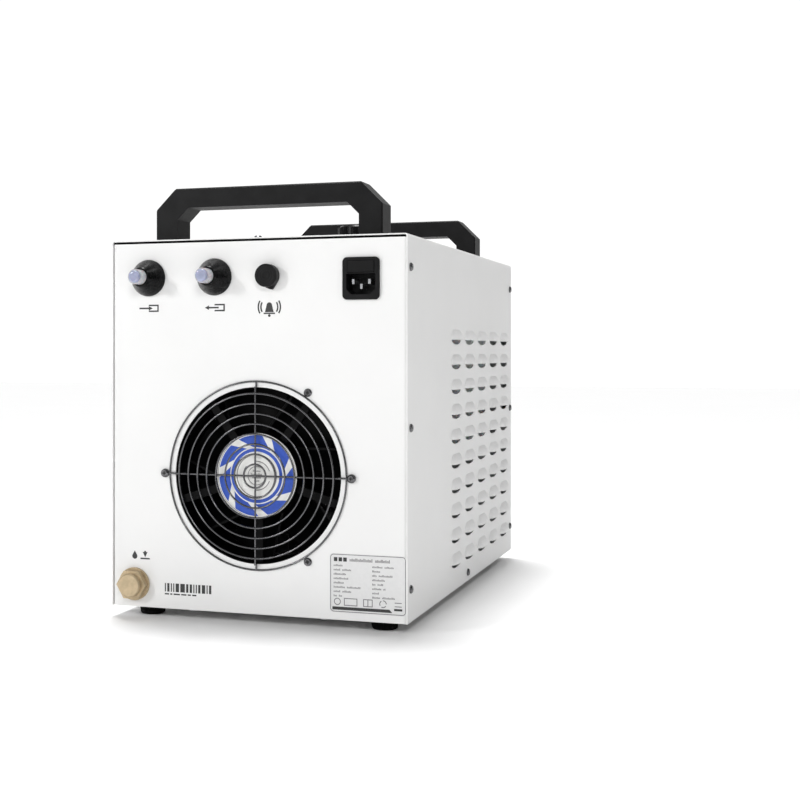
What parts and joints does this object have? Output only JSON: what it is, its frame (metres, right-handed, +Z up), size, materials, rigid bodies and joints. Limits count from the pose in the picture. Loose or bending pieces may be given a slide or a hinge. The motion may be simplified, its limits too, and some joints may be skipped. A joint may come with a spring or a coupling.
{
  "type": "industrial water chiller",
  "caption": "Recirculating water chiller in a white louvred case, with a rear fan behind a wire guard, water inlet, outlet and drain, mains and alarm sockets, and black carrying handles.",
  "frame": {"origin": "centre of the footprint on the floor, under the feet", "axes": "+Z up, -Y out of the rear panel with the fan and sockets, +X to the right when that panel is looked at"},
  "size_m": [0.278, 0.4924, 0.38],
  "materials": {
    "white_sheet": "satin powder coat",
    "black_plastic": "satin black",
    "gloss_black": "gloss black",
    "rubber": "matte",
    "steel": "bright zinc",
    "guard_wire": "bright plated wire",
    "fan_black": "satin black",
    "radiator_black": "matte black",
    "brass": "satin pale brass",
    "barb_white": "satin",
    "plug_blue": "translucent pale blue",
    "tank_white": "satin",
    "hose": "clear grey hose",
    "copper": "copper winding",
    "board": "green board",
    "fuse_glass": "clear"
  },
  "bodies": {
    "case": {"base_tray": "white_sheet", "rear_panel": "white_sheet", "front_panel": "white_sheet", "cover": "white_sheet", "rear_handle": "black_plastic", "front_handle": "black_plastic", "handle_screws": "steel", "foot_rear_left": "rubber", "foot_rear_right": "rubber", "foot_front_left": "rubber", "foot_front_right": "rubber", "bottom_screws": "steel", "cover_screws": "steel", "fan_guard": "guard_wire", "guard_screws": "steel", "fan_frame": "fan_black", "fan_stator": "copper", "fan_bearings": "steel", "radiator_core": "radiator_black", "radiator_headers": "radiator_black", "radiator_duct": "steel", "water_tank": "tank_white", "tank_stand": "steel", "filler_collar": "rubber", "pump_motor": "black_plastic", "pump_volute": "black_plastic", "pump_shaft": "tank_white", "pump_bracket": "steel", "flow_switch": "black_plastic", "hose_return": "hose", "hose_to_tank": "hose", "hose_suction": "hose", "hose_delivery": "hose", "hose_outlet": "hose", "hose_drain": "hose", "hose_clamps": "steel", "inlet_fitting": "barb_white", "inlet_nut": "gloss_black", "outlet_fitting": "barb_white", "outlet_nut": "gloss_black", "drain_fitting": "brass", "alarm_socket": "black_plastic", "alarm_pins": "brass", "mains_inlet": "black_plastic", "mains_pins": "steel", "display_bezel": "gloss_black", "control_board": "board", "power_switch": "black_plastic"},
    "fan_wheel": {"fan_rotor": "fan_black", "fan_shaft": "steel"},
    "impeller": {"pump_rotor": "tank_white"},
    "filler_lid": {"filler_cap": "gloss_black", "filler_gasket": "rubber"},
    "inlet_stopper": {"inlet_plug": "plug_blue"},
    "outlet_stopper": {"outlet_plug": "plug_blue"},
    "drain_lid": {"drain_cap": "brass"},
    "alarm_lid": {"alarm_cap": "rubber"},
    "fuse_tray": {"fuse_drawer": "black_plastic", "fuse": "fuse_glass"},
    "rocker": {"power_rocker": "black_plastic"}
  },
  "joints": [
    {"name": "fan_spin", "type": "hinge", "parent": "case", "child": "fan_wheel", "pos_m": [0.002, -0.186, 0.1284], "axis": [0, 1, 0], "continuous": true},
    {"name": "impeller_spin", "type": "hinge", "parent": "case", "child": "impeller", "pos_m": [-0.0089, 0.089, 0.07], "axis": [0, 0, 1], "continuous": true},
    {"name": "filler_cap_lift", "type": "slide", "parent": "case", "child": "filler_lid", "axis": [0, 0, 1], "range_m": [0, 0.045]},
    {"name": "inlet_plug_pull", "type": "slide", "parent": "case", "child": "inlet_stopper", "axis": [0, -1, 0], "range_m": [0, 0.02]},
    {"name": "outlet_plug_pull", "type": "slide", "parent": "case", "child": "outlet_stopper", "axis": [0, -1, 0], "range_m": [0, 0.02]},
    {"name": "drain_cap_off", "type": "slide", "parent": "case", "child": "drain_lid", "axis": [0, -1, 0], "range_m": [0, 0.02]},
    {"name": "alarm_cap_off", "type": "slide", "parent": "case", "child": "alarm_lid", "axis": [0, -1, 0], "range_m": [0, 0.02]},
    {"name": "fuse_drawer_pull", "type": "slide", "parent": "case", "child": "fuse_tray", "axis": [0, -1, 0], "range_m": [0, 0.018]},
    {"name": "power_rocker_tilt", "type": "hinge", "parent": "case", "child": "rocker", "pos_m": [0.08, 0.2412, 0.27], "axis": [1, 0, 0], "range_deg": [-8, 8]}
  ]
}
